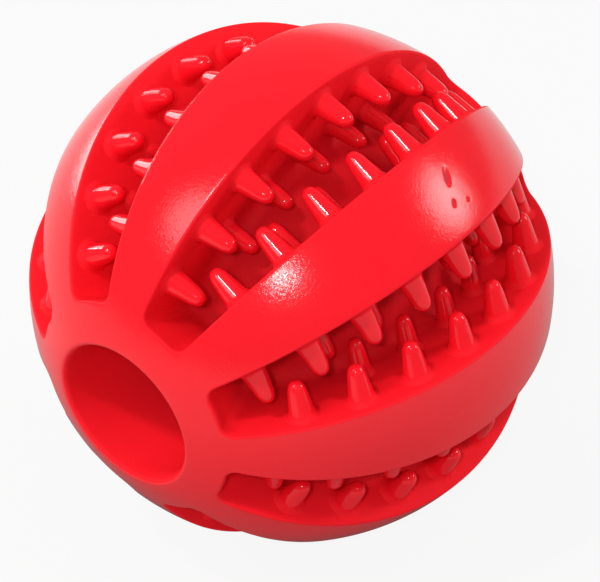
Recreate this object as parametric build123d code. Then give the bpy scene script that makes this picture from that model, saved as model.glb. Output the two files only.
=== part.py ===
from build123d import *
import math
import os

# Treat dispensing ball: one hollow rubber moulding with a treat hole at each end, eight lengthwise grooves and
# rows of cone teeth across the grooves. The origin is the centre of the ball, the holes lie on the Y axis with
# the front one facing -Y, and +Z passes through the middle of rib 1.

# Ball
ball_diameter = 70.0
floor_wall = 3.0
rib_count = 8
rib_angle = 21.0

# Treat holes
hole_diameter = 20.5
hole_rim_rounding = 1.0
hole_rim_land = 6.1

# Teeth, in two tiers on each wall of a groove
outer_tooth_root_diameter = 3.6
inner_tooth_root_diameter = 2.8
tooth_tip_diameter = 1.8
tooth_length = 5.3
tooth_setback = 1.5
tooth_end_gap = 3.8
tier_gap = 2.5
floor_gap = 0.2
outer_tooth_count = 8
inner_tooth_count = 5
inner_pitch_share = 0.93
row_shift_share = 1 / 4

# Grooves
groove_edge_rounding = 0.5
groove_floor_rounding = 1.1
groove_corner_rounding = 1.5

cut_overrun = 2.0

# Radii from the centre of the ball. A groove is as deep as its two tiers of teeth need.
ball_radius = ball_diameter / 2
hole_radius = hole_diameter / 2
outer_root_radius = outer_tooth_root_diameter / 2
inner_root_radius = inner_tooth_root_diameter / 2
outer_tier_radius = ball_radius - tooth_setback - outer_root_radius
inner_tier_radius = outer_tier_radius - outer_root_radius - tier_gap - inner_root_radius
rib_foot_radius = inner_tier_radius - inner_root_radius - floor_gap
floor_radius = rib_foot_radius - groove_floor_rounding
hollow_radius = floor_radius - floor_wall

# Angles about the bore axis, and angles from the equator towards the holes
rib_pitch = 360 / rib_count
groove_angle = rib_pitch - rib_angle
groove_end_angle = math.degrees(math.acos(hole_radius / ball_radius) - hole_rim_land / ball_radius)
rib_end_angle = groove_end_angle - math.degrees(groove_corner_rounding / rib_foot_radius)

# Distance between neighbouring teeth. The outer tier fills its wall, and its last tooth clears the end of the groove.
last_tooth_reach = outer_tier_radius * math.radians(groove_end_angle) - tooth_end_gap - outer_root_radius
outer_pitch = last_tooth_reach / ((outer_tooth_count - 1) / 2 + row_shift_share)
inner_pitch = outer_pitch * inner_pitch_share


def zone(inner_radius, outer_radius, end_angle, width_angle):
    """Block between two radii, reaching end_angle from the equator both ways, centred on +X."""
    outer = CenterArc((0, 0), outer_radius, -end_angle, 2 * end_angle)
    inner = CenterArc((0, 0), inner_radius, -end_angle, 2 * end_angle)
    outline = make_face([outer, inner, Line(outer @ 0, inner @ 0), Line(outer @ 1, inner @ 1)])
    return Rot(0, -width_angle / 2, 0) * revolve(outline, Axis.Y, revolution_arc=width_angle)


def groove():
    """The space of one groove, centred on +X, with rounded ends and a rounded floor."""
    space = zone(floor_radius, ball_radius + cut_overrun, groove_end_angle, groove_angle)
    space = fillet(space.edges().filter_by(GeomType.LINE), groove_corner_rounding)
    floor = space.faces().sort_by(lambda face: abs(face.center().X))[0]
    return fillet(floor.edges(), groove_floor_rounding)


def rims(faces):
    """The edges of these faces that lie on the outside of the ball."""
    return faces.edges().filter_by(lambda edge: math.isclose((edge @ (1 / 2)).length, ball_radius))


def moulding():
    """The whole ball without its teeth, with a rib centred on each of the X and Z directions."""
    ball = zone(hollow_radius, ball_radius, 90, 360)
    space = groove()
    for number in range(rib_count):
        ball -= Rot(0, rib_pitch * (number + 1 / 2), 0) * space
    groove_walls = ball.faces().filter_by(GeomType.SPHERE, reverse=True)
    ball = ball.solid().fillet(groove_edge_rounding, rims(groove_walls))
    ball -= Rot(90, 0, 0) * Cylinder(hole_radius, ball_diameter + cut_overrun)
    hole_walls = ball.faces().filter_by(GeomType.CYLINDER)
    return ball.solid().fillet(hole_rim_rounding, rims(hole_walls))


def tooth(root_radius):
    """One cone tooth with a round tip, standing on the XY plane."""
    tip_radius = tooth_tip_diameter / 2
    tip_height = tooth_length - tip_radius
    reach = math.hypot(root_radius, tip_height)
    lean = math.atan2(tip_height, -root_radius) - math.asin(tip_radius / reach)
    flank_length = math.sqrt(reach**2 - tip_radius**2)
    flank_end = (root_radius + flank_length * math.cos(lean), flank_length * math.sin(lean))
    flank = Line((root_radius, 0), flank_end)
    flank_tilt = math.degrees(lean) - 90
    tip = CenterArc((0, tip_height), tip_radius, flank_tilt, 90 - flank_tilt)
    outline = make_face([Line((0, 0), (root_radius, 0)), flank, tip, Line((0, tooth_length), (0, 0))])
    return Rot(90, 0, 0) * revolve(outline, Axis.Y)


def tooth_row():
    """Both tiers of teeth on the left wall of a groove centred on +X, shifted towards the front hole."""
    turn = math.radians(groove_angle / 2)
    into_groove = (math.sin(turn), 0, -math.cos(turn))
    tiers = [(outer_tier_radius, outer_root_radius, outer_tooth_count, outer_pitch)]
    tiers.append((inner_tier_radius, inner_root_radius, inner_tooth_count, inner_pitch))
    row = []
    for radius, root_radius, count, pitch in tiers:
        for number in range(count):
            steps = number - (count - 1) / 2 + row_shift_share
            angle = steps * pitch / radius
            out = radius * math.cos(angle)
            root = (out * math.cos(turn), -radius * math.sin(angle), out * math.sin(turn))
            row.append(Plane(root, x_dir=(0, 1, 0), z_dir=into_groove) * tooth(root_radius))
    return row


def write(name, shape):
    export_step(shape, f"parts/{name}.step")


os.makedirs("parts", exist_ok=True)

# The moulding is parted along the foot of the ribs and across the ends of the grooves.
ball = moulding()
belt = zone(hollow_radius - cut_overrun, ball_radius + cut_overrun, rib_end_angle, 360)
front_mouth_collar, rear_mouth_collar = (ball - belt).solids().sort_by(Axis.Y)
write("front_mouth_collar", front_mouth_collar)
write("rear_mouth_collar", rear_mouth_collar)
write("core_shell", ball & zone(hollow_radius - cut_overrun, rib_foot_radius, rib_end_angle, 360))

# Rib 1 is on top and the rest follow clockwise, seen from the front. Groove 1 comes after rib 1. A groove's left
# and right walls are those seen from the front with that groove on top. Its right row is its left row turned half
# round, so the teeth of one wall stand between those of the other.
rib = ball & zone(rib_foot_radius, ball_radius + cut_overrun, rib_end_angle, rib_pitch)
left_teeth = tooth_row()
right_teeth = [Rot(180, 0, 0) * cone for cone in left_teeth]
for number in range(rib_count):
    rib_turn = Rot(0, rib_pitch * number - 90, 0)
    groove_turn = Rot(0, rib_pitch * (number + 1 / 2) - 90, 0)
    write(f"rib_{number + 1}", rib_turn * rib)
    write(f"groove_{number + 1}_left_teeth", Compound([groove_turn * cone for cone in left_teeth]))
    write(f"groove_{number + 1}_right_teeth", Compound([groove_turn * cone for cone in right_teeth]))
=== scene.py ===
# %% [markdown]
# # A treat dispensing ball
#
# The ball is one hollow moulding of bright red rubber. A round treat hole opens at each end, eight grooves run
# from hole to hole, and cone teeth stand out from both walls of every groove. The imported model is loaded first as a
# fixed frame: the holes lie on the Y axis with the front one facing -Y, and the origin is the centre of the ball.

# %% Load the frame
import bmesh
import bpy
import math
from mathutils import Matrix, Vector


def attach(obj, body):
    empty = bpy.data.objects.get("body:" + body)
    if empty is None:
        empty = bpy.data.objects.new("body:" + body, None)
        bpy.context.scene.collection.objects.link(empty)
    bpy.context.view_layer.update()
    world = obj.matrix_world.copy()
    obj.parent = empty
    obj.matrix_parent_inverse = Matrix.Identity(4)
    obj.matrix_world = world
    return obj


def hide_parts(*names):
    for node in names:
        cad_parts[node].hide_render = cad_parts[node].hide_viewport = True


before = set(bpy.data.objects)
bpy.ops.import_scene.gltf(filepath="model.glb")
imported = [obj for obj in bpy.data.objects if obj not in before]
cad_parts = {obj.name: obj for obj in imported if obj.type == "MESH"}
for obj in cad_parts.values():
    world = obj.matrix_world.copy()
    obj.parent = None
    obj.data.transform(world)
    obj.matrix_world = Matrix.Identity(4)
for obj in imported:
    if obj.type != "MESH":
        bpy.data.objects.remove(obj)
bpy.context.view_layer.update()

# %% [markdown]
# ## Helpers
#
# Modelling by hand means: enter edit mode, select some faces or edges, and run an operator on them. A script selects
# by place instead of by mouse. On this ball a place is best told by its angle around the hole axis, its angle from
# the equator and its distance from the centre, so two small functions change between those and coordinates.

# %% Places on the ball
MM = 0.001
GROOVES = 8
GROOVE_PITCH = 360 / GROOVES


def polar(point):
    """Angle around the hole axis from +X towards +Z, angle from the equator towards the front hole, and distance."""
    distance = point.length
    around = math.degrees(math.atan2(point.z, point.x))
    along = math.degrees(math.asin(max(-1, min(1, -point.y / distance))))
    return around, along, distance


def place(around, along, distance):
    """The point with this angle around, angle along and distance."""
    out = distance * math.cos(math.radians(along))
    turn = math.radians(around)
    return Vector((out * math.cos(turn), -distance * math.sin(math.radians(along)), out * math.sin(turn)))


# %% Selecting and moving
def start():
    """Object mode with nothing selected, as every new piece begins."""
    if bpy.context.mode != "OBJECT":
        bpy.ops.object.mode_set(mode="OBJECT")
    bpy.ops.object.select_all(action="DESELECT")


def pick(kind, test):
    """In edit mode, select the faces or edges that pass the test and nothing else. Returns how many."""
    bpy.ops.mesh.select_all(action="DESELECT")
    bpy.ops.mesh.select_mode(type=kind)
    shape = bmesh.from_edit_mesh(bpy.context.object.data)
    chosen = [part for part in (shape.faces if kind == "FACE" else shape.edges) if test(part)]
    for part in chosen:
        part.select_set(True)
    shape.select_flush_mode()
    bmesh.update_edit_mesh(bpy.context.object.data)
    return len(chosen)


def carry(move):
    """In edit mode, carry each selected point to the place that move gives for it."""
    shape = bmesh.from_edit_mesh(bpy.context.object.data)
    for point in shape.verts:
        if point.select:
            point.co = move(point.co)
    bmesh.update_edit_mesh(bpy.context.object.data)


def scale(x, y, z):
    """In edit mode, scale the selection about the centre of the ball."""
    bpy.ops.transform.resize(value=(x, y, z), center_override=(0, 0, 0))


# %% [markdown]
# ## The moulding
#
# Outside and inside are one skin, so the moulding is made as one closed mesh. A UV sphere with its poles on the hole
# axis is the best start: its columns and rings are one degree apart. It is turned by half a degree, so that the edges
# of the ribs fall exactly on columns. The two polar caps are deleted, because the treat holes go there.

# %% Sphere
ball_radius = 35 * MM
groove_half_angle = 12
groove_end_angle = 63
cap_angle = 69
half_column = math.radians(0.5)

start()
tilt = (math.pi / 2, half_column, 0)
bpy.ops.mesh.primitive_uv_sphere_add(segments=360, ring_count=180, radius=ball_radius, rotation=tilt)
moulding = bpy.context.object
moulding.name = "moulding"
bpy.ops.object.transform_apply(location=True, rotation=True, scale=True)
bpy.ops.object.mode_set(mode="EDIT")
caps = pick("FACE", lambda face: abs(polar(face.calc_center_median())[1]) > cap_angle)
bpy.ops.mesh.delete(type="FACE")
print("faces taken off for the holes:", caps)

# %% [markdown]
# ## The grooves
#
# Each groove is a long window between two ribs. Its faces are selected, its sharp corners are drawn in to an arc, and
# the whole window is extruded towards the centre in steps. Scaling about the centre keeps the walls in line with the
# hole axis, as on a mould. The last steps also draw the window in, which rounds the floor into the walls. The ends are
# drawn in further than the sides, because they run out softly, like the end of a scoop.

# %% Round the corners of the groove windows
corner_radius = 1.5 * MM
outline_tolerance = 0.01 * MM


def from_groove_middle(around):
    """Angle from the middle of the nearest groove."""
    return around % GROOVE_PITCH - GROOVE_PITCH / 2


def in_groove(face):
    """A face of one of the groove windows."""
    around, along, distance = polar(face.calc_center_median())
    return abs(from_groove_middle(around)) < groove_half_angle and abs(along) < groove_end_angle


def round_corner(point):
    """Draw a point on the outline of a window in to the arc of the nearest corner."""
    around, along, distance = polar(point)
    middle = from_groove_middle(around)
    step_around = distance * math.radians(1) * math.cos(math.radians(along))
    step_along = distance * math.radians(1)
    from_side = (groove_half_angle - abs(middle)) * step_around
    from_end = (groove_end_angle - abs(along)) * step_along
    if min(from_side, from_end) > outline_tolerance or max(from_side, from_end) > corner_radius:
        return point
    spoke = Vector((from_side - corner_radius, from_end - corner_radius)).normalized() * corner_radius
    new_middle = groove_half_angle - (corner_radius + spoke.x) / step_around
    new_along = groove_end_angle - (corner_radius + spoke.y) / step_along
    return place(around - middle + math.copysign(new_middle, middle), math.copysign(new_along, along), distance)


windows = pick("FACE", in_groove)
carry(round_corner)
print("faces in the eight groove windows:", windows)

# %% Press the grooves in
wall_radii = [34.0 * MM, 31.5 * MM, 28.5 * MM, 25.1 * MM]
floor_radius = 23.3 * MM
fillet = wall_radii[-1] - floor_radius
fillet_angles = (22.5, 45, 67.5, 90)
end_share = 2.2

depth = ball_radius
for radius in wall_radii:
    bpy.ops.mesh.extrude_region()
    scale(radius / depth, radius / depth, radius / depth)
    depth = radius

drawn_in = 0
for angle in fillet_angles:
    new_depth = wall_radii[-1] - fillet * math.sin(math.radians(angle))
    new_drawn_in = fillet * (1 - math.cos(math.radians(angle)))

    def draw_in(point):
        """Carry a point of the floor to the next depth, and in from the walls and the ends."""
        around, along, distance = polar(point)
        middle = from_groove_middle(around)
        out = math.cos(math.radians(along))
        width = groove_half_angle - math.degrees(drawn_in / (depth * out))
        new_width = groove_half_angle - math.degrees(new_drawn_in / (new_depth * out))
        length = groove_end_angle - math.degrees(end_share * drawn_in / depth)
        new_length = groove_end_angle - math.degrees(end_share * new_drawn_in / new_depth)
        return place(around - middle + middle * new_width / width, along * new_length / length, new_depth)

    bpy.ops.mesh.extrude_region()
    carry(draw_in)
    depth, drawn_in = new_depth, new_drawn_in
print("groove depth in mm:", round((ball_radius - depth) / MM, 2))

# %% Soften the groove rims
rim_rounding = 0.55 * MM
ball_tolerance = 0.002 * MM


def on_ball(point):
    """A point on the outside of the ball."""
    return abs(point.co.length - ball_radius) < ball_tolerance


def is_rim(edge):
    """An edge on the outside whose two faces are one of the outside and one of a wall."""
    if not all(on_ball(point) for point in edge.verts):
        return False
    outside = [all(on_ball(point) for point in face.verts) for face in edge.link_faces]
    return sorted(outside) == [False, True]


rim_edges = pick("EDGE", is_rim)
bpy.ops.mesh.bevel(offset=rim_rounding, segments=3, affect="EDGES", clamp_overlap=True)
print("rim edges rounded:", rim_edges)

# %% [markdown]
# ## A cut and two pits
#
# One rib was bitten and has a short cut and two small pits. The patch of faces around them is divided finer, and its
# points are then pressed in, deepest along the middle of each mark. A shape this small could be a bump in the material,
# but as real faces it also catches the light from other sides.

# %% Cut and pits
nick_depth = 0.3 * MM
patch_around = (39, 51)
patch_along = (-12, -4)

# Each mark: angles around and along of its two ends, and half its width in mm
cut = ((49.4, -10.1), (44.8, -7.4), 0.6)
long_pit = ((42.7, -6.6), (40.8, -5.3), 0.35)
round_pit = ((40.9, -10.5), (40.0, -9.9), 0.3)
nicks = []
for first, last, half_width in (cut, long_pit, round_pit):
    nicks.append((place(*first, ball_radius), place(*last, ball_radius), half_width * MM))


def is_bitten(face):
    """A face of the patch of rib around the marks."""
    around, along, distance = polar(face.calc_center_median())
    return patch_around[0] < around < patch_around[1] and patch_along[0] < along < patch_along[1]


patch = pick("FACE", is_bitten)
bpy.ops.mesh.subdivide(number_cuts=3)
for begin, end, half_width in nicks:
    middle = (begin + end) / 2
    along_nick = (end - begin).normalized()
    half_length = (end - begin).length / 2

    def press(point):
        """Press a point in by its share of the mark's depth."""
        forward = (point - middle).dot(along_nick)
        aside = (point - middle - along_nick * forward).length
        share = max(0, 1 - math.hypot(forward / half_length, aside / half_width))
        return point * (1 - share * nick_depth / ball_radius)

    carry(press)
print("marks:", len(nicks), "in a patch of", patch, "faces")

# %% [markdown]
# ## The treat holes and the hollow
#
# The two open circles left by the caps are extruded again and again: over the rounded lip, down the straight throat
# and along the inside of the hollow, until both meet at the equator. Both ends are done at once, because a scale
# about the centre moves them as mirror images. Each step is written as a distance from the axis and a height.

# %% Lips, throats and hollow
hole_radius = 10.25 * MM
lip_rounding = 0.6 * MM
hollow_radius = 20.3 * MM
lip_shares = (0, 0.2, 0.4, 0.6, 0.8, 1)
throat_heights = (30, 27, 24, 21, 18.5)
throat_end = [(10.42 * MM, 17.9 * MM), (10.85 * MM, 17.3 * MM)]
hollow_angles = range(56, -1, -8)

lip_out = hole_radius + lip_rounding
lip_height = math.sqrt((ball_radius - lip_rounding) ** 2 - lip_out**2)
lip_start = math.degrees(math.atan2(lip_height, lip_out))
path = []
for share in lip_shares:
    angle = math.radians(lip_start + share * (180 - lip_start))
    path.append((lip_out + lip_rounding * math.cos(angle), lip_height + lip_rounding * math.sin(angle)))
for height in throat_heights:
    path.append((hole_radius, height * MM))
path.extend(throat_end)
for angle in hollow_angles:
    turn = math.radians(angle)
    path.append((hollow_radius * math.cos(turn), hollow_radius * math.sin(turn)))

pick("EDGE", lambda edge: edge.is_boundary)
out = ball_radius * math.cos(math.radians(cap_angle))
height = ball_radius * math.sin(math.radians(cap_angle))
for new_out, new_height in path:
    bpy.ops.mesh.extrude_region()
    scale(new_out / out, new_height / height, new_out / out)
    out, height = new_out, new_height
print("steps through each hole:", len(path))

# %% Close and smooth the skin
merge_distance = 0.001 * MM
smooth_angle = math.radians(60)

bpy.ops.mesh.select_all(action="SELECT")
bpy.ops.mesh.remove_doubles(threshold=merge_distance)
bpy.ops.mesh.normals_make_consistent(inside=False)
bpy.ops.object.mode_set(mode="OBJECT")
bpy.ops.object.shade_smooth_by_angle(angle=smooth_angle)
print("moulding:", len(moulding.data.polygons), "faces")

# %% [markdown]
# ## One tooth
#
# A tooth is a soft cone with a round tip. It flares a little where it grows out of the wall. A circle is extruded
# upwards in a few rings and closed to a point, and one face closes the root, which is hidden in the wall. There are
# hundreds of teeth, so one has only a few dozen faces.

# %% Tooth
tooth_sides = 12
tooth_length = 5.3 * MM

# Rings of a tooth from root to tip, as radius and height in mm
outer_profile = [(2.75, -0.12), (1.98, 0.14), (1.74, 0.75), (1.24, 4.0), (0.96, 4.76), (0.52, 5.2)]
inner_profile = [(2.2, -0.12), (1.62, 0.14), (1.42, 0.75), (1.1, 4.0), (0.87, 4.76), (0.47, 5.2)]


def make_tooth(name, profile):
    """A tooth standing on the XY plane, with its root a little below the plane."""
    start()
    radius, height = profile[0]
    bpy.ops.mesh.primitive_circle_add(vertices=tooth_sides, radius=radius * MM, location=(0, 0, height * MM))
    tooth = bpy.context.object
    tooth.name = name
    bpy.ops.object.transform_apply(location=True, rotation=True, scale=True)
    bpy.ops.object.mode_set(mode="EDIT")
    bpy.ops.mesh.select_all(action="SELECT")
    for new_radius, new_height in profile[1:]:
        bpy.ops.mesh.extrude_region()
        scale(new_radius / radius, new_radius / radius, 1)
        bpy.ops.transform.translate(value=(0, 0, (new_height - height) * MM))
        radius, height = new_radius, new_height
    bpy.ops.mesh.extrude_region()
    bpy.ops.mesh.merge(type="CENTER")
    bpy.ops.transform.translate(value=(0, 0, tooth_length - height * MM))
    pick("EDGE", lambda edge: edge.is_boundary)
    bpy.ops.mesh.edge_face_add()
    bpy.ops.mesh.select_all(action="SELECT")
    bpy.ops.mesh.normals_make_consistent(inside=False)
    bpy.ops.object.mode_set(mode="OBJECT")
    bpy.ops.object.shade_smooth_by_angle(angle=smooth_angle)
    return tooth


outer_tooth = make_tooth("outer_tooth", outer_profile)
inner_tooth = make_tooth("inner_tooth", inner_profile)
print("faces of a tooth:", len(outer_tooth.data.polygons))

# %% [markdown]
# ## Rows of teeth
#
# The teeth of a wall stand in two tiers, eight near the rim and five further down. Copies of the two teeth are set
# along the left wall of a groove and joined into one row. The right row is the same row turned half round, so the
# teeth of one wall stand between those of the other. Then the pair of rows is copied around to all eight grooves.

# %% First row
outer_tier_radius = 31.7 * MM
inner_tier_radius = 26.0 * MM
outer_pitch = 7.8 * MM
inner_pitch = 7.25 * MM
outer_count = 8
inner_count = 5
row_shift = 1 / 4


def copy_of(piece, matrix):
    """A copy with a mesh of its own, moved by the matrix, which is then put into the mesh."""
    start()
    piece.select_set(True)
    bpy.context.view_layer.objects.active = piece
    bpy.ops.object.duplicate()
    twin = bpy.context.object
    twin.matrix_world = matrix
    bpy.ops.object.transform_apply(location=True, rotation=True, scale=True)
    return twin


wall_turn = math.radians(groove_half_angle)
into_groove = Vector((math.sin(wall_turn), 0, -math.cos(wall_turn)))
along_wall = Vector((0, 1, 0))
across = into_groove.cross(along_wall)
copies = []
tiers = [(outer_tooth, outer_tier_radius, outer_count, outer_pitch)]
tiers.append((inner_tooth, inner_tier_radius, inner_count, inner_pitch))
for tooth, radius, count, pitch in tiers:
    for number in range(count):
        along = math.degrees((number - (count - 1) / 2 + row_shift) * pitch / radius)
        seat = Matrix((along_wall, across, into_groove)).transposed().to_4x4()
        seat.translation = place(groove_half_angle, along, radius)
        copies.append(copy_of(tooth, seat))
start()
for tooth in copies:
    tooth.select_set(True)
bpy.context.view_layer.objects.active = copies[0]
bpy.ops.object.join()
left_row = bpy.context.object
left_row.name = "left_row"
print("teeth in a row:", len(copies))

# %% All sixteen rows
half_round = Matrix.Rotation(math.pi, 4, "X")
rows = []
for number in range(GROOVES):
    groove_turn = Matrix.Rotation(math.radians(GROOVE_PITCH * (number + 1 / 2) - 90), 4, "Y")
    for side, turn in (("left", groove_turn), ("right", groove_turn @ half_round)):
        row = copy_of(left_row, turn)
        row.name = f"groove_{number + 1}_{side}_tooth_row"
        rows.append((row, f"groove_{number + 1}_{side}_teeth"))
for pattern in (outer_tooth, inner_tooth, left_row):
    bpy.data.objects.remove(pattern)
print("rows of teeth:", len(rows))

# %% [markdown]
# ## Riding on the frame
#
# Nothing on the ball moves by itself, so every piece rides on the one body. The moulding stands for the shell, the
# collars and the ribs, and each row of teeth for its own node.

# %% Ride and replace
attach(moulding, "root")
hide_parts("core_shell", "front_mouth_collar", "rear_mouth_collar", *[f"rib_{n}" for n in range(1, 9)])
for row, node in rows:
    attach(row, "root")
    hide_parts(node)
print("pieces:", 1 + len(rows))

# %% [markdown]
# ## Rubber
#
# The rubber is one bright red right through, but it has three finishes. The outside has a fine grain, as a blasted
# mould leaves it, which breaks highlights into specks. The teeth are smooth and glossy, because they were pulled out of
# polished pockets. The walls and floors of the grooves and the inside are matt. Down there, on walls, floors, hollow
# and teeth alike, shade is painted into the colour as a deeper red. Grain, depth and nick are node groups, because
# each of them is used more than once.

# %% Helpers for nodes
NUMBER = "NodeSocketFloat"
VECTOR = "NodeSocketVector"


def new_group(name, takes, gives):
    """A node group that takes these names with their kinds and gives these numbers. Returns it with its two ends."""
    group = bpy.data.node_groups.new(name, "ShaderNodeTree")
    for socket, kind in takes:
        group.interface.new_socket(socket, in_out="INPUT", socket_type=kind)
    for socket in gives:
        group.interface.new_socket(socket, in_out="OUTPUT", socket_type=NUMBER)
    return group, group.nodes.new("NodeGroupInput"), group.nodes.new("NodeGroupOutput")


def calculate(tree, operation, *sources):
    """A node that calculates a number from these outputs in turn."""
    node = tree.nodes.new("ShaderNodeMath")
    node.operation = operation
    for number, source in enumerate(sources):
        tree.links.new(source, node.inputs[number])
    return node


def calculate_vector(tree, operation, *sources):
    """A node that calculates with vectors from these outputs in turn."""
    node = tree.nodes.new("ShaderNodeVectorMath")
    node.operation = operation
    for number, source in enumerate(sources):
        tree.links.new(source, node.inputs[number])
    return node


def remap(tree, source, old_range, new_range):
    """A node that maps a number from one range to another."""
    node = tree.nodes.new("ShaderNodeMapRange")
    node.inputs["From Min"].default_value, node.inputs["From Max"].default_value = old_range
    node.inputs["To Min"].default_value, node.inputs["To Max"].default_value = new_range
    tree.links.new(source, node.inputs["Value"])
    return node


def mix_colours(tree, factor):
    """A node that mixes two colours, A and B, by a factor."""
    node = tree.nodes.new("ShaderNodeMix")
    node.data_type = "RGBA"
    tree.links.new(factor, node.inputs["Factor"])
    return node


# %% Grain group
grain, inputs, outputs = new_group("Rubber Grain", [("Size", NUMBER)], ["Height", "Cloud"])
where = grain.nodes.new("ShaderNodeTexCoord")
specks = grain.nodes.new("ShaderNodeTexNoise")
specks.inputs["Detail"].default_value = 3
specks.inputs["Roughness"].default_value = 0.6
clouds = grain.nodes.new("ShaderNodeTexNoise")
clouds.inputs["Scale"].default_value = 90
clouds.inputs["Detail"].default_value = 4
grain.links.new(where.outputs["Object"], specks.inputs["Vector"])
grain.links.new(where.outputs["Object"], clouds.inputs["Vector"])
grain.links.new(inputs.outputs["Size"], specks.inputs["Scale"])
grain.links.new(specks.outputs["Fac"], outputs.inputs["Height"])
grain.links.new(clouds.outputs["Fac"], outputs.inputs["Cloud"])
print("group:", grain.name)

# %% Depth group for the painted shade
lip_fade = 0.5 * MM

# Share of unshaded colour for the painted shade: 0 at the groove floor, 1 near the rim and in the throats of the holes.
nearness, inputs, outputs = new_group("Nearness To Rim", [("From", NUMBER), ("To", NUMBER)], ["Share"])
where = nearness.nodes.new("ShaderNodeTexCoord")
reach = calculate_vector(nearness, "LENGTH", where.outputs["Object"])
share = remap(nearness, reach.outputs["Value"], (0, 1), (0, 1))
share.interpolation_type = "SMOOTHSTEP"
nearness.links.new(inputs.outputs["From"], share.inputs["From Min"])
nearness.links.new(inputs.outputs["To"], share.inputs["From Max"])
flat = calculate_vector(nearness, "MULTIPLY", where.outputs["Object"])
flat.inputs[1].default_value = (1, 0, 1)
from_axis = calculate_vector(nearness, "LENGTH", flat.outputs["Vector"])
throat = remap(nearness, from_axis.outputs["Value"], (lip_out, lip_out + lip_fade), (1, 0))
either = calculate(nearness, "MAXIMUM", share.outputs["Result"], throat.outputs["Result"])
nearness.links.new(either.outputs["Value"], outputs.inputs["Share"])
print("group:", nearness.name)

# %% Nick group
takes = [("Middle", VECTOR), ("Along", VECTOR), ("Half Length", NUMBER), ("Half Width", NUMBER)]
scar, inputs, outputs = new_group("Nick", takes, ["Mask"])
where = scar.nodes.new("ShaderNodeTexCoord")
offset = calculate_vector(scar, "SUBTRACT", where.outputs["Object"], inputs.outputs["Middle"])
forward = calculate_vector(scar, "DOT_PRODUCT", offset.outputs["Vector"], inputs.outputs["Along"])
foot = calculate_vector(scar, "SCALE", inputs.outputs["Along"])
scar.links.new(forward.outputs["Value"], foot.inputs["Scale"])
aside = calculate_vector(scar, "DISTANCE", offset.outputs["Vector"], foot.outputs["Vector"])
far = calculate(scar, "DIVIDE", forward.outputs["Value"], inputs.outputs["Half Length"])
wide = calculate(scar, "DIVIDE", aside.outputs["Value"], inputs.outputs["Half Width"])
far_square = calculate(scar, "MULTIPLY", far.outputs["Value"], far.outputs["Value"])
wide_square = calculate(scar, "MULTIPLY", wide.outputs["Value"], wide.outputs["Value"])
both = calculate(scar, "ADD", far_square.outputs["Value"], wide_square.outputs["Value"])
root = calculate(scar, "SQRT", both.outputs["Value"])
mask = remap(scar, root.outputs["Value"], (0, 1), (1, 0))
scar.links.new(mask.outputs["Result"], outputs.inputs["Mask"])
print("group:", scar.name)

# %% Rubber with grain
bright_red = (0.84, 0.006, 0.014, 1)
pale_red = (0.9, 0.009, 0.02, 1)
grain_height = 0.05 * MM
# The painted shade is full at the groove floor and fades out by 32 mm from the centre.
painted_shade_from = floor_radius
painted_shade_to = 32 * MM


def rubber(name, grain_size, bump_strength):
    """A material with a clouded colour and a grain. Returns it with its shader, its grain and its colour node."""
    material = bpy.data.materials.new(name)
    material.use_nodes = True
    tree = material.node_tree
    shader = tree.nodes["Principled BSDF"]
    speckle = tree.nodes.new("ShaderNodeGroup")
    speckle.node_tree = grain
    speckle.inputs["Size"].default_value = grain_size
    bump = tree.nodes.new("ShaderNodeBump")
    bump.inputs["Strength"].default_value = bump_strength
    bump.inputs["Distance"].default_value = grain_height
    tone = mix_colours(tree, speckle.outputs["Cloud"])
    tone.inputs["A"].default_value = bright_red
    tone.inputs["B"].default_value = pale_red
    tree.links.new(speckle.outputs["Height"], bump.inputs["Height"])
    tree.links.new(bump.outputs["Normal"], shader.inputs["Normal"])
    tree.links.new(tone.outputs["Result"], shader.inputs["Base Color"])
    return material, shader, speckle, tone


def paint_groove_shade(tree, shader, tone, colour):
    """Paint shade into the colour of a rubber: it goes over to a deeper red towards the floor of the grooves."""
    share = tree.nodes.new("ShaderNodeGroup")
    share.node_tree = nearness
    share.inputs["From"].default_value = painted_shade_from
    share.inputs["To"].default_value = painted_shade_to
    shade_mix = mix_colours(tree, share.outputs["Share"])
    shade_mix.inputs["A"].default_value = colour
    tree.links.new(tone.outputs["Result"], shade_mix.inputs["B"])
    tree.links.new(shade_mix.outputs["Result"], shader.inputs["Base Color"])


def set_roughness(tree, shader, speckle, low, high):
    """Roughness that varies with the clouds of the grain. Returns its node."""
    polish = remap(tree, speckle.outputs["Cloud"], (0, 1), (low, high))
    tree.links.new(polish.outputs["Result"], shader.inputs["Roughness"])
    return polish


# %% Three finishes
# Painted shade: the darker reds that the groove walls and the teeth go over to towards the floor.
painted_shade_wall_red = (0.6, 0.004, 0.011, 1)
painted_shade_tooth_red = (0.66, 0.005, 0.012, 1)

satin, shader, speckle, skin_tone = rubber("satin_red_rubber_skin", grain_size=2800, bump_strength=0.6)
skin_polish = set_roughness(satin.node_tree, shader, speckle, low=0.1, high=0.17)
shader.inputs["Specular IOR Level"].default_value = 0.35

matt, shader, speckle, tone = rubber("matt_red_rubber_inside", grain_size=4200, bump_strength=0.2)
# Painted shade darkens the walls, floors and hollow towards the groove floor.
paint_groove_shade(matt.node_tree, shader, tone, painted_shade_wall_red)
set_roughness(matt.node_tree, shader, speckle, low=0.6, high=0.75)
shader.inputs["Specular IOR Level"].default_value = 0.12

glossy, shader, speckle, tone = rubber("glossy_red_rubber_teeth", grain_size=2600, bump_strength=0.06)
# Painted shade darkens the teeth towards the groove floor.
paint_groove_shade(glossy.node_tree, shader, tone, painted_shade_tooth_red)
set_roughness(glossy.node_tree, shader, speckle, low=0.08, high=0.13)
shader.inputs["Specular IOR Level"].default_value = 0.32
print("materials:", satin.name, matt.name, glossy.name)

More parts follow.
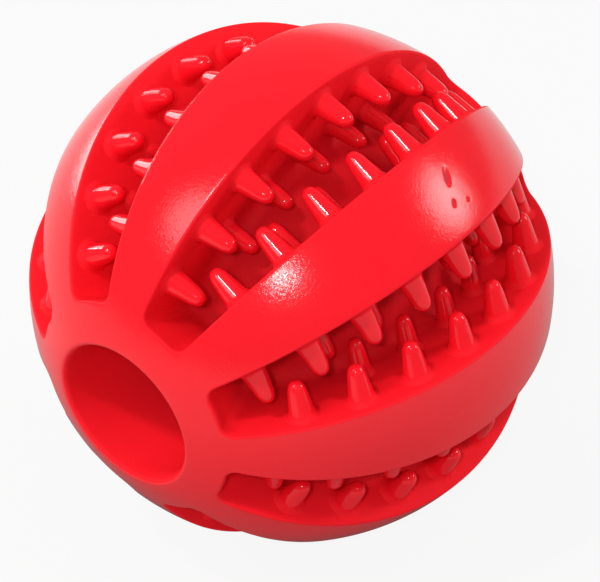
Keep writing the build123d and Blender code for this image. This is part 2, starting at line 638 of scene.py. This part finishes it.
# %% [markdown]
# ## Dull marks
#
# Fresh torn rubber has lost its moulded skin, so the cut and the pits are dull. Their colour is also made a darker
# red, most along the middle of each mark. Painting their faces would give hard edges. The nick group instead gives a
# mask that fades out from the middle of each mark.

# %% Dull the cut and the pits
# The colour of the cut and the pits goes over to a darker red towards the middle of each mark, as well as dull.
dark_mark_red = (0.4, 0.012, 0.026, 1)

tree = satin.node_tree
shader = tree.nodes["Principled BSDF"]
colour = skin_tone.outputs["Result"]
dull = skin_polish.outputs["Result"]
for begin, end, half_width in nicks:
    mark = tree.nodes.new("ShaderNodeGroup")
    mark.node_tree = scar
    mark.inputs["Middle"].default_value = (begin + end) / 2
    mark.inputs["Along"].default_value = (end - begin).normalized()
    mark.inputs["Half Length"].default_value = (end - begin).length / 2
    mark.inputs["Half Width"].default_value = half_width
    mark_darkening = mix_colours(tree, mark.outputs["Mask"])
    mark_darkening.inputs["B"].default_value = dark_mark_red
    tree.links.new(colour, mark_darkening.inputs["A"])
    colour = mark_darkening.outputs["Result"]
    dull = calculate(tree, "MAXIMUM", mark.outputs["Mask"], dull).outputs["Value"]
tree.links.new(colour, shader.inputs["Base Color"])
tree.links.new(dull, shader.inputs["Roughness"])
print("marks dulled:", len(nicks))

# %% [markdown]
# ## Painting
#
# The moulding is satin outside and matt inside, and a tooth is glossy but goes over into the matt wall at its root. So
# both kinds of piece get two materials, and the faces of the second are picked by place.

# %% Paint the pieces
collar_angle = groove_end_angle + 1.5
rib_half_angle = groove_half_angle + 2
mark_depth = 1 * MM
rim_depth = 0.006 * MM
root_height = 0.6 * MM


def is_inside(face):
    """A face of a groove with its rim, of a throat or of the hollow. The lips and the marks in a rib stay outside."""
    middle = face.calc_center_median()
    around, along, distance = polar(middle)
    if abs(along) > collar_angle:
        return math.hypot(middle.x, middle.z) < hole_radius + lip_rounding / 2
    on_rib = abs(from_groove_middle(around)) > rib_half_angle
    return distance < ball_radius - (mark_depth if on_rib else rim_depth)


def is_root(face):
    """A face of a tooth where it flares into the wall."""
    middle = face.calc_center_median()
    from_wall = groove_half_angle - abs(from_groove_middle(polar(middle)[0]))
    return math.hypot(middle.x, middle.z) * math.sin(math.radians(from_wall)) < root_height


def paint_piece(piece, main, other, test):
    """Give a piece its main finish, and the faces that pass the test the other one. Returns how many pass."""
    piece.data.materials.clear()
    piece.data.materials.append(main)
    piece.data.materials.append(other)
    start()
    piece.select_set(True)
    bpy.context.view_layer.objects.active = piece
    bpy.ops.object.mode_set(mode="EDIT")
    count = pick("FACE", test)
    piece.active_material_index = 1
    bpy.ops.object.material_slot_assign()
    bpy.ops.object.mode_set(mode="OBJECT")
    return count


inside_faces = paint_piece(moulding, satin, matt, is_inside)
root_faces = [paint_piece(row, glossy, matt, is_root) for row, node in rows]
print("matt faces:", inside_faces, "inside and", sum(root_faces), "at the roots of teeth")

# %% [markdown]
# ## Camera
#
# The camera looks down on the ball from the front right, with the front hole at the lower left and a slight roll. A
# long lens half a metre away keeps the ball's outline nearly round, and a small shift puts it off centre in the frame.

# %% Camera
right = Vector((0.757, 0.650, -0.063)).normalized()
back = Vector((0.530, -0.555, 0.641)).normalized()
up = back.cross(right).normalized()
right = up.cross(back)
view = bpy.data.cameras.new("camera")
view.sensor_width = 36
view.lens = 220
view.shift_x = 0.014
view.shift_y = -0.018
camera_distance = 0.49
camera = bpy.data.objects.new("camera", view)
bpy.context.collection.objects.link(camera)
turn = Matrix((right, up, back)).transposed().to_4x4()
camera.matrix_world = Matrix.Translation(back * camera_distance) @ turn
bpy.context.scene.camera = camera
print("camera at", [round(value, 3) for value in camera.location])

# %% [markdown]
# ## Floor, surroundings and lamps
#
# The ball lies on a plain white floor. Seen directly, the floor shows mostly its own white, with the ball's soft shadow
# still on it. Mirrored in the rubber, the floor is a glow with a painted shadow: dark under the ball and white further
# out. Every lamp stands where the ball mirrors it to the right place. The key lamp and the left lamp are small and
# draw the streaks on the teeth. The front lamp makes the speckled highlight on the middle rib. The edge lamp and the
# right lamp are larger and give the soft sheen on the ribs, and the rim lamp behind the ball whitens its left outline.
# White surroundings fill the shadows.

# %% Floor
floor_paint = (0.45, 0.45, 0.45, 1)
white_share = 0.9
shade_reach = (20 * MM, 100 * MM)
shade_level = (0.1, 0.9)

start()
bpy.ops.mesh.primitive_plane_add(size=6, location=(0, 0, -ball_radius))
floor = bpy.context.object
floor.name = "floor"
white = bpy.data.materials.new("white_floor")
white.use_nodes = True
tree = white.node_tree
paint = tree.nodes["Principled BSDF"]
paint.inputs["Base Color"].default_value = floor_paint
paint.inputs["Roughness"].default_value = 0.9
paint.inputs["Specular IOR Level"].default_value = 0
glow = tree.nodes.new("ShaderNodeEmission")
rays = tree.nodes.new("ShaderNodeLightPath")
where = tree.nodes.new("ShaderNodeTexCoord")
blend = tree.nodes.new("ShaderNodeMixShader")
# Painted shadow: in reflections the floor's glow has strength 0.1 within 20 mm of the contact point, rising to 0.9 at
# 100 mm.
reach = calculate_vector(tree, "LENGTH", where.outputs["Object"])
shade = remap(tree, reach.outputs["Value"], shade_reach, shade_level)
level = calculate(tree, "MAXIMUM", shade.outputs["Result"], rays.outputs["Is Camera Ray"])
share = calculate(tree, "MULTIPLY", rays.outputs["Is Camera Ray"])
share.inputs[1].default_value = white_share
mirrored = calculate(tree, "MAXIMUM", rays.outputs["Is Glossy Ray"], rays.outputs["Is Transmission Ray"])
seen = calculate(tree, "MAXIMUM", share.outputs["Value"], mirrored.outputs["Value"])
tree.links.new(level.outputs["Value"], glow.inputs["Strength"])
tree.links.new(seen.outputs["Value"], blend.inputs["Fac"])
tree.links.new(paint.outputs["BSDF"], blend.inputs[1])
tree.links.new(glow.outputs["Emission"], blend.inputs[2])
tree.links.new(blend.outputs["Shader"], tree.nodes["Material Output"].inputs["Surface"])
floor.data.materials.append(white)
print("floor at", -ball_radius)

# %% Surroundings
fill_level = 0.46
mirror_level = 0.25

world = bpy.data.worlds.new("surroundings")
bpy.context.scene.world = world
world.use_nodes = True
tree = world.node_tree
sky = tree.nodes["Background"]
sky.inputs["Color"].default_value = (1, 1, 1, 1)
rays = tree.nodes.new("ShaderNodeLightPath")
level = remap(tree, rays.outputs["Is Glossy Ray"], (0, 1), (fill_level, mirror_level))
seen = calculate(tree, "MAXIMUM", rays.outputs["Is Camera Ray"], rays.outputs["Is Transmission Ray"])
strength = calculate(tree, "MAXIMUM", level.outputs["Result"], seen.outputs["Value"])
tree.links.new(strength.outputs["Value"], sky.inputs["Strength"])
print("surroundings:", fill_level)


# %% Lamps
def lamp(name, direction, distance, size, power):
    """A round lamp facing the ball. Its direction is camera right, up and back, the rest is in metres and watts."""
    light = bpy.data.lights.new(name, "AREA")
    light.shape = "DISK"
    light.size = size
    light.energy = power
    holder = bpy.data.objects.new(name, light)
    bpy.context.collection.objects.link(holder)
    aim = (right * direction[0] + up * direction[1] + back * direction[2]).normalized()
    turn = aim.to_track_quat("Z", "Y").to_matrix().to_4x4()
    holder.matrix_world = Matrix.Translation(aim * distance) @ turn
    return holder


lamps = [
    lamp("key_lamp", (-0.385, 0.49, 0.77), 0.65, 0.06, 1.2),
    lamp("front_lamp", (-0.07, 0.03, 1), 0.62, 0.045, 1.1),
    lamp("edge_lamp", (-0.64, 0.38, 0.67), 0.65, 0.28, 1.05),
    lamp("left_lamp", (-0.81, 0.57, -0.12), 0.65, 0.06, 0.45),
    lamp("rim_lamp", (-0.75, 0.62, -0.45), 0.9, 0.5, 4.5),
    lamp("right_lamp", (0.87, 0.46, 0.18), 0.6, 0.22, 1.2),
]
bpy.context.scene.view_settings.view_transform = "Standard"
print("lamps:", len(lamps))
